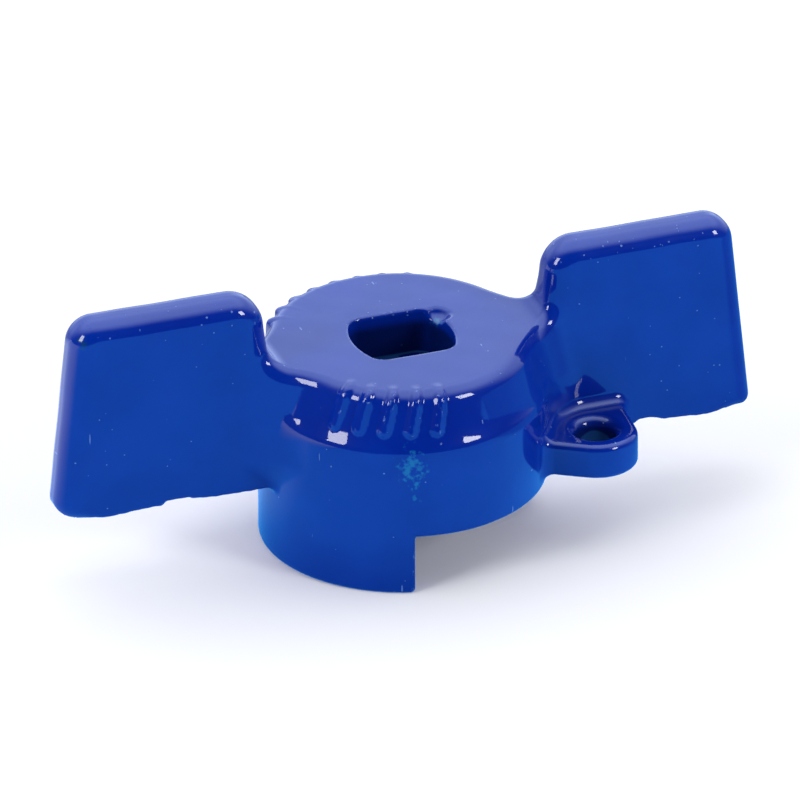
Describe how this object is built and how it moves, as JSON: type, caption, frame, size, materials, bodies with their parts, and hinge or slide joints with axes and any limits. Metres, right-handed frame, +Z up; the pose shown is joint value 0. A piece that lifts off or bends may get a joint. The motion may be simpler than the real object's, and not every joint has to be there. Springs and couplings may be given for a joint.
{
  "type": "water shutoff valve handle",
  "caption": "Lockable butterfly handle for a quarter-turn water shutoff valve: a cup-shaped hub with raised wings, a flatted stem hole and a padlock lug.",
  "frame": {"origin": "on the stem axis, in the plane of the skirt's bottom rim", "axes": "+Z up along the stem axis, away from the valve; +X along the wing that carries the padlock lug; the lug is on the -Y side"},
  "size_m": [0.0764, 0.03, 0.0299],
  "materials": {
    "blue_enamel": "gloss"
  },
  "bodies": {
    "root": {"wing_handle": "blue_enamel"}
  },
  "joints": []
}
